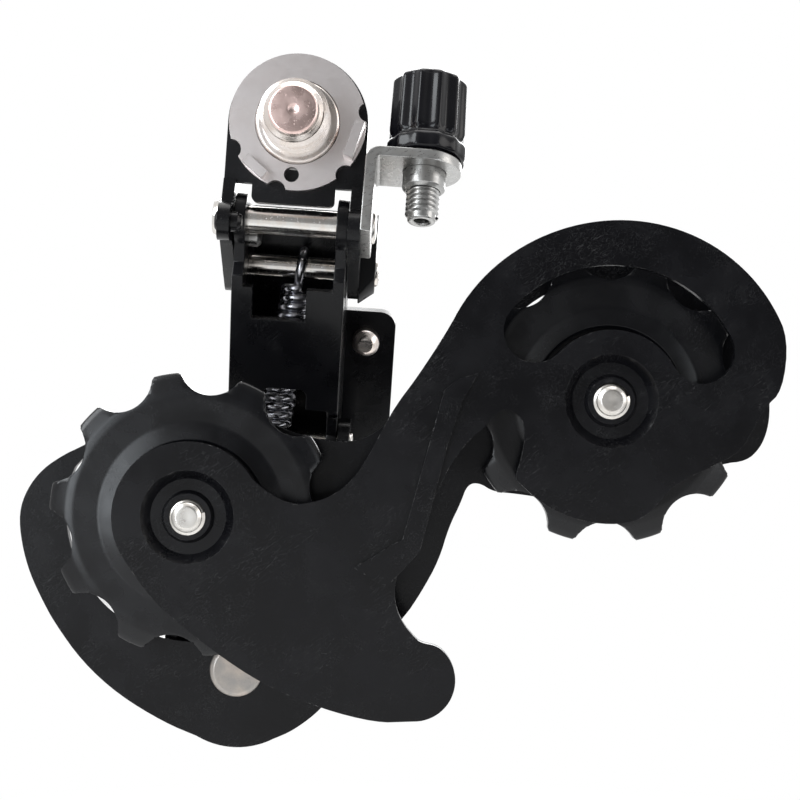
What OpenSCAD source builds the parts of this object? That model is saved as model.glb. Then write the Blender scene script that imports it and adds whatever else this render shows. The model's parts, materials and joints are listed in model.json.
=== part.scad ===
// Rear derailleur, direct mount, pressed steel, two ten-tooth pulleys.
// Millimetres. The origin is on the mounting bolt's axis, at the face that seats on the frame's hanger.
// +Y leaves the wheel, +X points to the rear, +Z is up. The cage hangs relaxed and the linkage is outermost.

/* [Mounting bolt] */
// Radius of the M10 x 1 thread
thread_r = 5; // [4.6:0.1:5.2]
// Length of the thread beyond the hanger face
thread_len = 9; // [7:0.5:11]
// Length of the plain pilot on the end of the bolt
pilot_len = 1.2; // [0.6:0.2:2]
// Radius of the shoulder that the knuckle turns on
shoulder_r = 6.2; // [5.8:0.1:6.6]
// Radius of the button head
bolt_head_r = 8.2; // [7.5:0.1:8.4]
// Height of the button head
bolt_head_h = 4.2; // [3:0.2:6]
// Hexagon key size
bolt_key_af = 5; // [4:0.5:6]

/* [Stopper plate] */
// Radius of the stopper plate
stopper_r = 10.1; // [9:0.1:11]
// Thickness of the stopper plate
stopper_t = 1.6; // [1.2:0.1:2]
// Radius of the small hole in the stopper plate
stopper_hole_r = 1.1; // [0.8:0.1:1.4]

/* [Upper knuckle] */
// Angle at which the knuckle and linkage hang from the vertical
lean = 4; // [0:0.5:8]
// Radius of the round top of the knuckle
knuckle_r = 10.4; // [9.8:0.1:11.5]
// Thickness of the pressed sheet of the two knuckles and links
sheet_t = 1.8; // [1.5:0.1:2]
// Depth of the knuckle's skirt along the bolt
skirt_depth = 11; // [9:0.5:13]
// Outer radius of the steel sleeve in the knuckle
sleeve_r = 8; // [7.6:0.1:8.4]

/* [Parallelogram] */
// Length of both links between pin centres
link_len = 36; // [32:0.5:40]
// Angle of the links from the vertical at rest, outward
rest_swing = 22; // [18:0.5:24]
// Height of the upper inner pin below the bolt
pin_a_drop = 14.4; // [13.8:0.1:15.2]
// Distance of the upper inner pin outboard of the hanger face
pin_a_out = 4.5; // [4:0.1:5]
// Outboard distance between the inner and outer pins
pin_span_y = 10; // [9.6:0.1:11]
// Height between the inner and outer pins
pin_span_z = 5.9; // [5.5:0.1:6.3]
// Radius of the inner pins
inner_pin_r = 2; // [1.8:0.05:2.2]
// Radius of the outer pins
outer_pin_r = 1.75; // [1.6:0.05:2]
// Thickness of the links' side walls
link_t = 1.7; // [1.4:0.1:1.8]

/* [Cable adjuster] */
// Distance of the barrel from the bolt axis
barrel_x = 19.2; // [18.5:0.1:21]
// Angle at which the barrel leans outboard
barrel_tilt = 17; // [10:1:24]
// Thickness of the adjuster bracket
bracket_t = 1.6; // [1.2:0.1:2]
// Radius of the barrel's thread
barrel_r = 2.5; // [2.2:0.1:2.8]
// Bottom radius of the knob
knob_r = 6.1; // [5.6:0.1:6.5]
// Length of the knob
knob_len = 13.2; // [12:0.2:16]
// Number of flutes round the knob
knob_flutes = 12; // [8:1:16]

/* [Lower knuckle] */
// Outer radius of the cage spring housing
housing_r = 11.4; // [11:0.1:12]
// Wall of the cage spring housing
housing_wall = 1.6; // [1.2:0.1:1.8]
// Depth of the cage spring housing
housing_depth = 19; // [18:0.2:20]
// Radius of the cage pivot axle
axle_r = 4; // [3.6:0.1:4.4]

/* [Cage] */
// Distance between the two pulley axles
pulley_gap = 60; // [56:0.5:66]
// Angle of the line through the two pulley axles at rest
cage_angle = 15.3; // [12:0.1:18]
// Distance of the cage pivot from the guide pulley axle
pivot_drop = 23.2; // [22.6:0.1:24]
// Thickness of the cage plates
plate_t = 1.5; // [1.2:0.1:1.8]
// Space between the two cage plates
cage_gap = 8.8; // [8.4:0.1:9.4]
// Plane of the pulleys, inboard of the hanger face
pulley_plane = 12; // [11.6:0.1:13]
// Outer radius of the dished seat round each pulley axle
dish_r = 6.4; // [6:0.1:6.8]
// Depth of the dished seat
dish_depth = 1.5; // [1.1:0.1:1.7]
// Middle radius of the crescent windows
window_r = 14.1; // [13.8:0.1:14.6]
// Half the width of the crescent windows
window_half = 4.4; // [3.8:0.1:4.6]
// The same for the outer plate's window at the tension pulley
outer_window_half = 3.1; // [2.6:0.1:3.8]

/* [Pulleys] */
// Number of teeth
teeth = 10; // [10:1:11]
// Radius over the tooth tips
tip_r = 19.9; // [19.3:0.1:20.3]
// Radius at the bottom of the tooth gullets
root_r = 16.8; // [16.2:0.1:17]
// Radius of the round gullets
gullet_r = 4.7; // [4.2:0.1:4.9]
// Thickness of the pulley at its rim
rim_t = 4.4; // [4:0.1:4.8]
// Thickness of the web inside the rim
web_t = 2.4; // [2:0.1:3]
// Radius of the pulley's bore
pulley_bore_r = 4; // [3.8:0.05:4.3]
// Radius of the pulley bolts
pulley_bolt_r = 2.5; // [2.3:0.05:2.6]

/* [Fits] */
// Radial clearance of a part that turns on another
run_clear = 0.06; // [0.03:0.01:0.08]
// Gap between flat faces that slide past each other
face_clear = 0.15; // [0.1:0.05:0.2]

/* [Hidden] */

black_steel = [0.12, 0.12, 0.13];
zinc_steel = [0.78, 0.77, 0.75];
bright_steel = [0.72, 0.71, 0.69];
spring_steel = [0.25, 0.25, 0.27];
black_plastic = [0.08, 0.08, 0.09];

// Rounding of the pressed outlines, in segments to a full circle
round_fn = 40;
$fn = 72;

// Layers along the bolt
stopper_y = 0.4;
knuckle_y = stopper_y + stopper_t + face_clear;
sleeve_flange_t = 1.0;
sleeve_lip_r = shoulder_r + 0.7;
sleeve_end_y = knuckle_y + skirt_depth + 0.2;
bolt_head_y = sleeve_end_y + face_clear;

// The four pins of the linkage, as [y, z] in the leaned frame
ear_half = 10.4;
ear_in = ear_half - sheet_t;
link_half = ear_in - face_clear;
link_in = link_half - link_t;
pin_a = [pin_a_out, -pin_a_drop];
pin_b = pin_a + [pin_span_y, -pin_span_z];
link_dir = [sin(rest_swing), -cos(rest_swing)];
pin_d = pin_a + link_len * link_dir;
pin_c = pin_b + link_len * link_dir;
pin_head_t = 0.8;
inner_lobe_r = 4.5;
outer_lobe_r = 4.3;
link_lobe_r = 3.9;
link_half_width = 2.6;

// Distance from pin A to the limit screw that stops the links outermost
limit_r = 1.5;
full_swing = 54;
limit_reach = link_lobe_r + limit_r + 0.45;
limit_side = link_half_width + limit_r + 0.2;
high_angle = rest_swing + asin(limit_side / limit_reach);
high_limit = pin_a + limit_reach * [sin(high_angle), -cos(high_angle)];
low_angle = rest_swing - full_swing - asin(limit_side / limit_reach);
low_limit = pin_a + limit_reach * [sin(low_angle), -cos(low_angle)];

// The bracket and barrel, drawn about the point where the barrel leaves the bracket's top face
barrel_y = 4;
barrel_z = -4.4;
bracket_half = 5.5;
bracket_drop = 13.6;
bush_r = 3.2;
bush_below = 3;
knob_lift = 0.3;

// Lower knuckle and cage, in the leaned frame and in the part's frame
cage_outer_y = -pulley_plane + cage_gap / 2;
cage_inner_y = -pulley_plane - cage_gap / 2;
plate_face_y = cage_outer_y + plate_t;
housing_y = plate_face_y + 0.3;
housing_end_y = housing_y + housing_depth;
boss_r = axle_r + 2.6;
pivot_global = [-8.2, -79.4];
pivot = [pivot_global[0] * cos(lean) - pivot_global[1] * sin(lean),
    pivot_global[0] * sin(lean) + pivot_global[1] * cos(lean)];
pivot_in_cage = [-0.4, -pivot_drop];
guide_axle = pivot_global - turned(pivot_in_cage, cage_angle);
tension = [pulley_gap, 0];
dish_floor_y = [cage_inner_y + dish_depth, cage_outer_y - dish_depth];
bush_len = cage_gap - 2 * dish_depth;
washer_t = 0.5;
hub_t = bush_len - 2 * washer_t - 2 * face_clear;

// Stop pin of the cage, beside the spring housing
stop_pin_r = 1.6;
stop_reach = housing_r + stop_pin_r + 1.6;
stop_angle = 58;
stop_pin_len = 2.2;
lug_half = 2;
lug_turn = 2 * asin((lug_half + stop_pin_r + 0.3) / 2 / stop_reach);

// A flat point turned about the origin, anticlockwise as seen from the wheel side
function turned(p, a) = [p[0] * cos(a) - p[1] * sin(a), p[0] * sin(a) + p[1] * cos(a)];

// Points of an arc about c, from angle a to angle b
function arc(c, r, a, b, n = 12) =
    [for (i = [0:n]) let (turn = a + (b - a) * i / n) c + r * [cos(turn), sin(turn)]];

function unit(v) = v / norm(v);

// The part of v that is square to direction d
function square_to(v, d) = unit(v - (v * d) * d);

// Rings of a tube of radius r round the points of path p, as one closed polyhedron
module tube(p, r, sides = 6) {
    last = len(p) - 1;
    dirs = [for (i = [0:last]) unit(p[min(i + 1, last)] - p[max(i - 1, 0)])];
    ring_x = [for (i = 0, v = unit(cross(dirs[0], abs(dirs[0][2]) < 0.9 ? [0, 0, 1] : [1, 0, 0]));
        i <= last; v = square_to(v, dirs[min(i + 1, last)]), i = i + 1) v];
    points = [for (i = [0:last]) for (k = [0:sides - 1])
        p[i] + r * (cos(360 * k / sides) * ring_x[i] + sin(360 * k / sides) * cross(dirs[i], ring_x[i]))];
    walls = [for (i = [0:last - 1]) for (k = [0:sides - 1])
        let (a = i * sides + k, b = i * sides + (k + 1) % sides)
            each [[a, a + sides, b + sides], [a, b + sides, b]]];
    start_cap = [[for (k = [0:sides - 1]) k]];
    end_cap = [[for (k = [0:sides - 1]) last * sides + sides - 1 - k]];
    polyhedron(points = points, faces = concat(walls, start_cap, end_cap), convexity = 6);
}

// A flat outline in X and Z, t thick from y
module sheet_y(y, t) translate([0, y + t, 0]) rotate([90, 0, 0]) linear_extrude(t) children();

// A flat outline in Y and Z, t thick from x
module sheet_x(x, t) translate([x, 0, 0]) rotate([90, 0, 90]) linear_extrude(t) children();

// A round rod along Y, from y0 to y1
module rod_y(r, y0, y1) translate([0, y1, 0]) rotate([90, 0, 0]) cylinder(r = r, h = y1 - y0);

// A round rod along X, from x0 to x1, at a flat point [y, z]
module rod_x(r, x0, x1, at = [0, 0])
    translate([x0, at[0], at[1]]) rotate([0, 90, 0]) cylinder(r = r, h = x1 - x0);

// A turned piece about Y whose outline is in [radius, y]
module turned_y(outline) rotate([-90, 0, 0]) rotate_extrude() polygon(outline);

// A turned piece about X at [y, z] whose outline is in [radius, x]
module turned_x(outline, at)
    translate([0, at[0], at[1]]) rotate([0, 90, 0]) rotate_extrude() polygon(outline);

module leaned() rotate([0, lean, 0]) children();

// The frame of a link: its own -Z runs from the upper pin to the lower pin
module link_frame(at) translate([0, at[0], at[1]]) rotate([rest_swing, 0, 0]) children();

module barrel_frame()
    leaned() translate([barrel_x, barrel_y, barrel_z]) rotate([-barrel_tilt, 0, 0]) children();

// The frame of the cage: the guide axle is its origin and the tension axle lies along its X
module cage_frame() translate([guide_axle[0], 0, guide_axle[1]]) rotate([0, -cage_angle, 0]) children();

module at_tension() cage_frame() translate([tension[0], 0, 0]) children();

module at_pivot() translate([pivot_global[0], 0, pivot_global[1]]) children();

// Stopper plate: a stamped disc with two bent stop tabs
module stopper_outline() {
    difference() {
        circle(stopper_r);
        circle(shoulder_r + run_clear);
        translate([-0.9, -7.75]) circle(stopper_hole_r);
        for (a = [-108, -158, -48, 8])
            rotate(a) translate([stopper_r + 0.5, 0]) circle(1.5);
    }
}

// A tab of the plate, bent toward the hanger at an angle below the rear
module stop_tab(angle, reach, half) {
    outer = sqrt(stopper_r * stopper_r - half * half) - 0.1;
    rotate([0, angle, 0]) translate([outer - 1.4, stopper_y - reach, -half])
        cube([1.4, reach + stopper_t / 2, 2 * half]);
}

module stopper_plate() color(zinc_steel) {
    sheet_y(stopper_y, stopper_t) stopper_outline();
    stop_tab(132, 2.4, 1.9);
    stop_tab(20, 4.2, 2.7);
}

// Mounting bolt: pilot, thread, shoulder and button head with a hexagon socket
module mounting_bolt() color(bright_steel) difference() {
    turned_y([[0, -thread_len - pilot_len], [thread_r - 1.7, -thread_len - pilot_len],
        [thread_r - 1.4, -thread_len - pilot_len + 0.3], [thread_r - 1.4, -thread_len],
        [thread_r, -thread_len + 1.4], [thread_r, 0],
        [shoulder_r - 0.3, 0], [shoulder_r, 0.3], [shoulder_r, bolt_head_y], [bolt_head_r, bolt_head_y],
        [bolt_head_r, bolt_head_y + bolt_head_h * 0.35],
        [bolt_head_r - 1.0, bolt_head_y + bolt_head_h * 0.75],
        [bolt_head_r - 2.6, bolt_head_y + bolt_head_h], [0, bolt_head_y + bolt_head_h]]);
    translate([0, bolt_head_y + bolt_head_h + 0.1, 0]) rotate([90, 0, 0])
        cylinder(r = bolt_key_af / 2 / cos(30), h = 3.2, $fn = 6);
}

// Steel sleeve that is pressed into the knuckle and runs on the bolt's shoulder
module pivot_sleeve() color(zinc_steel) leaned()
    turned_y([[shoulder_r + run_clear, knuckle_y], [sleeve_lip_r, knuckle_y],
        [sleeve_lip_r, knuckle_y + sheet_t], [sleeve_r + 1, knuckle_y + sheet_t],
        [sleeve_r + 1, knuckle_y + sheet_t + sleeve_flange_t],
        [sleeve_r, knuckle_y + sheet_t + sleeve_flange_t], [sleeve_r, sleeve_end_y],
        [shoulder_r + run_clear, sleeve_end_y]]);

module dome_outline(inset) {
    circle(knuckle_r - inset);
    translate([inset - ear_half, -9.2]) square([2 * (ear_half - inset), 9.2]);
}

module upper_ear_outline() difference() {
    union() {
        hull() {
            translate(pin_a) circle(inner_lobe_r, $fn = round_fn);
            translate(pin_b) circle(outer_lobe_r, $fn = round_fn);
            translate([knuckle_y + sheet_t, -3]) square([skirt_depth - sheet_t, 2]);
        }
        hull() {
            translate(pin_a) circle(3, $fn = round_fn);
            translate(low_limit) circle(limit_r + 1.3, $fn = round_fn);
        }
    }
    translate([-20, -8.8]) square([20 + knuckle_y, 20]);
}

// Upper knuckle: one deep pressing with a round top, a skirt, two ears and a tongue between the links
tongue_half = 5.2;
ear_pad_t = 2.3;
tongue_drop = 11;
module upper_knuckle() color(black_steel) leaned() difference() {
    union() {
        sheet_y(knuckle_y, sheet_t) {
            dome_outline(0);
            hull() for (x = [-tongue_half, tongue_half]) for (z = [-8, -tongue_drop])
                translate([x, z]) circle(1, $fn = round_fn);
        }
        sheet_y(knuckle_y + 0.5, skirt_depth - 0.5) difference() {
            dome_outline(0);
            dome_outline(sheet_t);
            translate([-ear_in, -12]) square([2 * ear_in, 12.5]);
        }
        for (x = [-ear_half, ear_in]) sheet_x(x, sheet_t) upper_ear_outline();
        hull() {
            sheet_x(ear_half - 0.1, 0.2) translate(pin_b - [1.8, 3.2]) circle(1.8, $fn = round_fn);
            sheet_x(ear_half - 0.1, ear_pad_t + 0.1) {
                translate(pin_b) circle(3.2, $fn = round_fn);
                translate(pin_b + [-1.5, 7.3]) circle(1.6, $fn = round_fn);
            }
        }
    }
    rod_y(sleeve_lip_r, knuckle_y - 1, knuckle_y + sheet_t + 1);
    rod_x(inner_pin_r, -ear_half - 1, ear_half + 1, pin_a);
    rod_x(outer_pin_r, -ear_half - 1, ear_half + ear_pad_t + 1, pin_b);
    for (p = [high_limit, low_limit]) rod_x(limit_r + run_clear, -ear_half - 1, -ear_in + 1, p);
}

// A riveted pin with a head at its front end and a peened end at the other
module riveted_pin(r, at, reach, head = pin_head_t) color(bright_steel) leaned()
    turned_x([[0, -ear_half - head], [r + 0.4, -ear_half - head], [r + 0.9, -ear_half - 0.3],
        [r + 0.9, -ear_half], [r, -ear_half], [r, reach], [r + 0.5, reach], [r + 0.3, reach + 0.45],
        [r - 0.5, reach + 0.6], [0, reach + 0.6]], at);

module upper_inner_pin() riveted_pin(inner_pin_r, pin_a, ear_half + bracket_t, 1.4);
module upper_outer_pin() riveted_pin(outer_pin_r, pin_b, ear_half + ear_pad_t, 0.5);
module lower_inner_pin() riveted_pin(inner_pin_r, pin_d, ear_half);
module lower_outer_pin() riveted_pin(outer_pin_r, pin_c, ear_half);

// Headless limit screw with a slot, threaded through the front ear
module limit_screw(at, end) leaned() difference() {
    turned_x([[0, -ear_half - 0.5], [limit_r - 0.3, -ear_half - 0.5], [limit_r, -ear_half - 0.2],
        [limit_r, end - 0.6], [limit_r - 0.5, end], [0, end]], at);
    translate([-ear_half - 0.5, at[0], at[1]]) cube([1.4, 0.5, 4 * limit_r], center = true);
}

module high_limit_screw() color(zinc_steel) limit_screw(high_limit, -link_in + 1.8);
module low_limit_screw() color(black_steel) limit_screw(low_limit, -link_in - 0.2);

// Adjuster bracket: a bent strip riveted to the rear ear by the upper inner pin
module bracket_outline() {
    reach = barrel_x - ear_half;
    bend = 2.2;
    difference() {
        union() {
            translate([-reach, -bracket_drop]) square([bracket_t, bracket_drop - bend]);
            translate([bend - reach, -bracket_t]) square([reach - bend, bracket_t]);
            intersection() {
                translate([bend - reach, -bend]) circle(bend);
                translate([-reach, -bend]) square(bend);
            }
        }
        translate([bend - reach, -bend]) circle(bend - bracket_t);
    }
}

module adjuster_bracket() color(zinc_steel) difference() {
    barrel_frame() {
        difference() {
            union() {
                translate([0, bracket_half, 0]) rotate([90, 0, 0])
                    linear_extrude(2 * bracket_half) bracket_outline();
                translate([0, 0, -bracket_t]) cylinder(r = bracket_half, h = bracket_t);
            }
            translate([0, 0, -bracket_t - 1]) cylinder(r = bush_r, h = bracket_t + 2);
        }
    }
    leaned() rod_x(inner_pin_r, ear_half - 1, ear_half + bracket_t + 1, pin_a);
}

// Threaded bush under the bracket
module adjuster_bush() color(zinc_steel) barrel_frame() rotate_extrude()
    polygon([[barrel_r + run_clear, -bracket_t - bush_below], [bush_r - 0.5, -bracket_t - bush_below],
        [bush_r, -bracket_t - bush_below + 0.5], [bush_r, 0.25], [barrel_r + run_clear, 0.25]]);

// Hollow barrel screw that carries the cable's housing
module barrel_screw() color(zinc_steel) barrel_frame() rotate_extrude()
    polygon([[1.1, -9.4], [barrel_r - 0.6, -9.4], [barrel_r - 0.1, -8.9], [barrel_r - 0.1, -7.4],
        [barrel_r, -6.9], [barrel_r, knob_lift + 6.7], [1.1, knob_lift + 6.7]]);

// Knob: a plain skirt, flutes that taper to the top and a rounded shoulder
knob_skirt = 2.8;
knob_shoulder = 1.3;
knob_taper = 0.94;
module knob_outline() difference() {
    circle(knob_r - 0.1, $fn = 96);
    for (i = [0:knob_flutes - 1]) rotate((i + 0.5) * 360 / knob_flutes)
        translate([knob_r + 0.4, 0]) circle(1, $fn = 20);
}

module adjuster_knob() color(black_plastic) barrel_frame() translate([0, 0, knob_lift]) difference() {
    union() {
        rotate_extrude() polygon([[0, 0], [knob_r - 0.5, 0], [knob_r, 0.5], [knob_r, knob_skirt - 0.5],
            [knob_r - 0.5, knob_skirt], [0, knob_skirt]]);
        translate([0, 0, knob_skirt - 0.1])
            linear_extrude(knob_len - knob_skirt - knob_shoulder + 0.1, scale = knob_taper) knob_outline();
        translate([0, 0, knob_len - knob_shoulder - 0.1])
            linear_extrude(knob_shoulder + 0.1, scale = 0.86) scale(knob_taper) knob_outline();
    }
    rotate_extrude() polygon([[0, -1], [4.5, -1], [4.5, 4.2], [barrel_r, 4.2], [barrel_r, 6.7], [1.2, 6.7],
        [1.2, 7.5], [2.6, 7.5], [2.6, knob_len + 1], [0, knob_len + 1]]);
}

// Small spring that holds the knob where it is set
module adjuster_spring() color(spring_steel) barrel_frame()
    tube([for (i = [0:48]) [3.6 * cos(i * 22.5), 3.6 * sin(i * 22.5), 0.75 + i * 0.068]], 0.35);

// Side wall of a link, from lobe to lobe, with its web side at s
module link_wall_outline(s) {
    hull() for (z = [0, -link_len]) translate([0, z]) circle(link_half_width, $fn = round_fn);
    for (z = [0, -link_len]) translate([0, z]) circle(link_lobe_r);
    polygon([[0, -3.4], [s, -7.5], [s, -link_len + 7.5], [0, -link_len + 3.4]]);
}

module link_walls(s) for (x = [-link_half, link_in]) sheet_x(x, link_t) link_wall_outline(s);

module link_bores(r_upper, r_lower) {
    rod_x(r_upper, -link_half - 1, link_half + 1, [0, 0]);
    rod_x(r_lower, -link_half - 1, link_half + 1, [0, -link_len]);
}

inner_web_y = -link_half_width - link_t;
outer_web_y = link_half_width + 0.6;

// Inner link: two side walls and a web that is cut back at both ends round the spring
module inner_web_outline() difference() {
    translate([-link_half, -link_len + 7.5]) square([2 * link_half, link_len - 16.7]);
    translate([-5.3, -14.1]) square([8.1, 10]);
    hull() for (x = [-2, 2.3]) for (z = [-26.4, -link_len])
        translate([x, z]) circle(1.2, $fn = round_fn);
}

module inner_link() color(black_steel) leaned() link_frame(pin_a) difference() {
    union() {
        link_walls(inner_web_y);
        sheet_y(inner_web_y, link_t) inner_web_outline();
    }
    link_bores(inner_pin_r + run_clear, inner_pin_r + 0.3);
}

// Outer link: a cover-like web that reaches well over the upper pin, two side walls and the anchor's flange
anchor_x = 11.8;
anchor_s = 12.4;
anchor_r = 2.2;
clamp_t = 1.2;
web_over = 8.6;
flange_x = 16.4;
anchor_seat = outer_web_y + link_t;
module outer_link() color(black_steel) leaned() link_frame(pin_b) difference() {
    union() {
        link_walls(anchor_seat);
        sheet_y(outer_web_y, link_t) hull()
            for (x = [-link_half + 2, link_half - 2]) for (z = [web_over - 2, -link_len + 6])
                translate([x, z]) circle(2, $fn = round_fn);
        sheet_y(outer_web_y, link_t) hull() for (x = [link_half - 3, flange_x - 2.5]) for (z = [-10, -28.3])
            translate([x, z]) circle(2.5, $fn = round_fn);
    }
    link_bores(outer_pin_r + run_clear, outer_pin_r + run_clear);
    translate([anchor_x, 0, -anchor_s]) rod_y(anchor_r, outer_web_y - 1, anchor_seat + 1);
}

// Bolt and washer that clamp the cable on the outer side of the flange
module anchor_frame() leaned() link_frame(pin_b) translate([anchor_x, 0, -anchor_s]) children();

module cable_anchor_bolt() color(bright_steel) anchor_frame() {
    turned_y([[0, outer_web_y - 2.8], [1.2, outer_web_y - 2.8], [1.7, outer_web_y - 2.3],
        [anchor_r, outer_web_y - 1.6], [anchor_r, anchor_seat + clamp_t], [0, anchor_seat + clamp_t]]);
    translate([0, anchor_seat + clamp_t + 2.8, 0]) rotate([90, 0, 0]) cylinder(r = 3.7, h = 2.8, $fn = 6);
}

module cable_clamp_washer() color(zinc_steel) anchor_frame() difference() {
    union() {
        rod_y(4, anchor_seat, anchor_seat + clamp_t);
        translate([-3, anchor_seat, -6]) cube([6, clamp_t, 4]);
    }
    rod_y(anchor_r, anchor_seat - 1, anchor_seat + clamp_t + 1);
    translate([-5, anchor_seat - 0.1, -3.2]) rotate([0, 90, 0]) cylinder(r = 0.7, h = 10);
}

// Return spring between the upper outer pin and the lower inner pin, hooked over both
spring_r = 1.95;
spring_wire = 0.7;
spring_top = [1.2, pin_b[0], pin_b[1]];
spring_end = [-1.8, pin_d[0], pin_d[1]];
spring_axis = unit(spring_end - spring_top);
spring_side = unit(cross(spring_axis, [1, 0, 0]));
spring_front = cross(spring_axis, spring_side);
spring_span = norm(spring_end - spring_top);
spring_turns = 12;

// One hook: an arc over a pin, from the coil's side of it round its far side
function hook(c, r, way) = [for (a = [-60:30:120])
    c + r * (cos(a) * spring_side * way - sin(a) * spring_axis * way)];

module return_spring() color(spring_steel) leaned() {
    steps = spring_turns * 12;
    start = 4.6;
    coil = [for (i = [0:steps]) spring_top + spring_axis * (start + (spring_span - 2 * start) * i / steps)
        + spring_r * (cos(i * 30) * spring_side + sin(i * 30) * spring_front)];
    top_hook = hook(spring_top, outer_pin_r + spring_wire + 0.12, 1);
    end_hook = hook(spring_end, inner_pin_r + spring_wire + 0.12, -1);
    tube(concat([for (i = [len(top_hook) - 1:-1:0]) top_hook[i]], coil, end_hook), spring_wire);
}

// Lower knuckle: a spring housing with a neck that widens into a two-eared fork
module fork_outline() {
    hull() {
        translate(pin_d) circle(inner_lobe_r, $fn = round_fn);
        translate(pin_c) circle(outer_lobe_r, $fn = round_fn);
        translate([11, -66]) circle(4, $fn = round_fn);
        translate([21, -63]) circle(4, $fn = round_fn);
    }
}

module fork_slot_outline() hull() for (p = [pin_d, pin_c]) for (up = [0, 30])
    translate(p + [0, up]) circle(6.4, $fn = round_fn);

module at_pivot_leaned() translate([pivot[0], 0, pivot[1]]) children();

// The part of the housing, of radius r between y0 and y1, that the neck grows from
neck_from = boss_r + 0.2;
module neck_root(r, y0, y1) at_pivot_leaned() intersection() {
    rod_y(r, y0, y1, $fn = 48);
    translate([-r, y0, neck_from]) cube([2 * r, y1 - y0, r]);
}

module lower_knuckle() color(black_steel) leaned() difference() {
    union() {
        at_pivot_leaned() rod_y(housing_r, housing_y, housing_end_y);
        hull() {
            neck_root(housing_r, housing_y, housing_end_y);
            translate([-ear_half, 10, -68]) cube([2 * ear_half, 13, 5]);
        }
        difference() {
            sheet_x(-ear_half, 2 * ear_half) fork_outline();
            sheet_x(-ear_in, 2 * ear_in) fork_slot_outline();
        }
        at_pivot_leaned() rotate([0, -(stop_angle + lean + lug_turn), 0])
            translate([housing_r - 1, housing_y, -lug_half])
                cube([stop_reach + stop_pin_r - housing_r + 1, 4, 2 * lug_half]);
    }
    sheet_x(-ear_in, 2 * ear_in) fork_slot_outline();
    difference() {
        union() {
            at_pivot_leaned() rod_y(housing_r - housing_wall, housing_y - 1, housing_end_y - 1.8);
            hull() {
                neck_root(housing_r - housing_wall, housing_y + 8, housing_end_y - 1.8);
                sheet_x(-ear_in, 2 * ear_in) polygon([[12.6, -56.6], [22, -61.8], [19.5, -65.2], [9.5, -67]]);
            }
        }
        at_pivot_leaned() rod_y(boss_r, housing_y + 9, housing_end_y);
    }
    at_pivot_leaned() rod_y(axle_r + run_clear, housing_y - 2, housing_end_y + 1);
    rod_x(inner_pin_r, -ear_half - 1, ear_half + 1, pin_d);
    rod_x(outer_pin_r, -ear_half - 1, ear_half + 1, pin_c);
}

// Cage axle: riveted to the outer plate, with a groove for the circlip
circlip_y = housing_end_y + face_clear;
circlip_t = 0.8;
module cage_axle() color(bright_steel) at_pivot()
    turned_y([[0, cage_outer_y - 0.7], [3.2, cage_outer_y - 0.7], [3.8, cage_outer_y - 0.3], [3.8, cage_outer_y],
        [3, cage_outer_y], [3, plate_face_y], [boss_r, plate_face_y], [boss_r, plate_face_y + 1.2],
        [axle_r, plate_face_y + 1.2], [axle_r, circlip_y], [axle_r - 0.6, circlip_y],
        [axle_r - 0.6, circlip_y + circlip_t], [axle_r, circlip_y + circlip_t],
        [axle_r, circlip_y + circlip_t + 0.8], [axle_r - 0.5, circlip_y + circlip_t + 1.3],
        [0, circlip_y + circlip_t + 1.3]]);

module axle_circlip() color(spring_steel) at_pivot() sheet_y(circlip_y, circlip_t) difference() {
    circle(axle_r + 1.9);
    circle(axle_r - 0.6);
    rotate(-90) translate([0, -1.6]) square([axle_r + 3, 3.2]);
    for (a = [-55, -125]) rotate(a) translate([axle_r + 0.7, 0]) circle(0.5);
}

// Torsion spring in the housing, which turns the cage back
coil_r = (boss_r + housing_r - housing_wall) / 2;
module cage_spring() color(spring_steel) at_pivot()
    tube([for (i = [0:80]) [coil_r * cos(i * 22.5), housing_y + 1.2 + i * 0.13, coil_r * sin(i * 22.5)]], 0.8);

// A crescent window about c, between two angles, with round ends
module crescent(c, from, to, half = window_half) translate(c) polygon(concat(
    arc([0, 0], window_r + half, from, to, 26),
    arc(window_r * [cos(to), sin(to)], half, to + 18, to + 162, 8),
    arc([0, 0], window_r - half, to, from, 20),
    arc(window_r * [cos(from), sin(from)], half, from + 198, from + 342, 8)));

// The body of a dished seat, or of its recess, whose rim is at y on the side of way
module dish(y, way) turned_y([[0, y + 0.4 * way], [dish_r + 0.32, y + 0.4 * way],
    [dish_r - 1.2, y - dish_depth * way], [0, y - dish_depth * way]]);

function near_tension(points) = [for (p = points) tension + p];

inner_outline = concat(
    arc([0, 0], 10.4, 10, 200, 12),
    [[-7.6, -9.4], [-5.6, -12.6], [-1.3, -18.6], [4, -24.7], [10.8, -30], [17.5, -33.8]],
    arc([24, -29.6], 5.7, -115, 40, 7),
    [[26.2, -24.9]],
    arc([32, -19.5], 7.8, 215, 138, 4),
    near_tension([[-26.9, -6.6], [-23.9, -2.9], [-20.4, -0.1], [-17.7, 1.1], [-15.8, 2.5], [-14.2, 2.9],
        [-12.6, 1.5], [-12.3, -0.7], [-13.6, -3.7], [-15.4, -6.6]]),
    arc(tension, 16.9, -155, -95, 4),
    near_tension([[2, -15.6], [4.8, -13.2], [12.2, -12], [15, -11.2], [17.6, -8.8], [19.8, -6.4], [22.8, -4.8]]),
    [for (a = [4:11.5:142]) tension + [cos(a), sin(a)] * (24.35 + 1.2 * pow(max(0, cos(a - 18)), 2))],
    [[35.3, 10.1], [31.5, 7.2], [28.8, 4.4], [24.9, 0.3], [22.2, -1.6], [19.4, -2.5], [17, -2.6], [14, -2.2]]);

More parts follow.
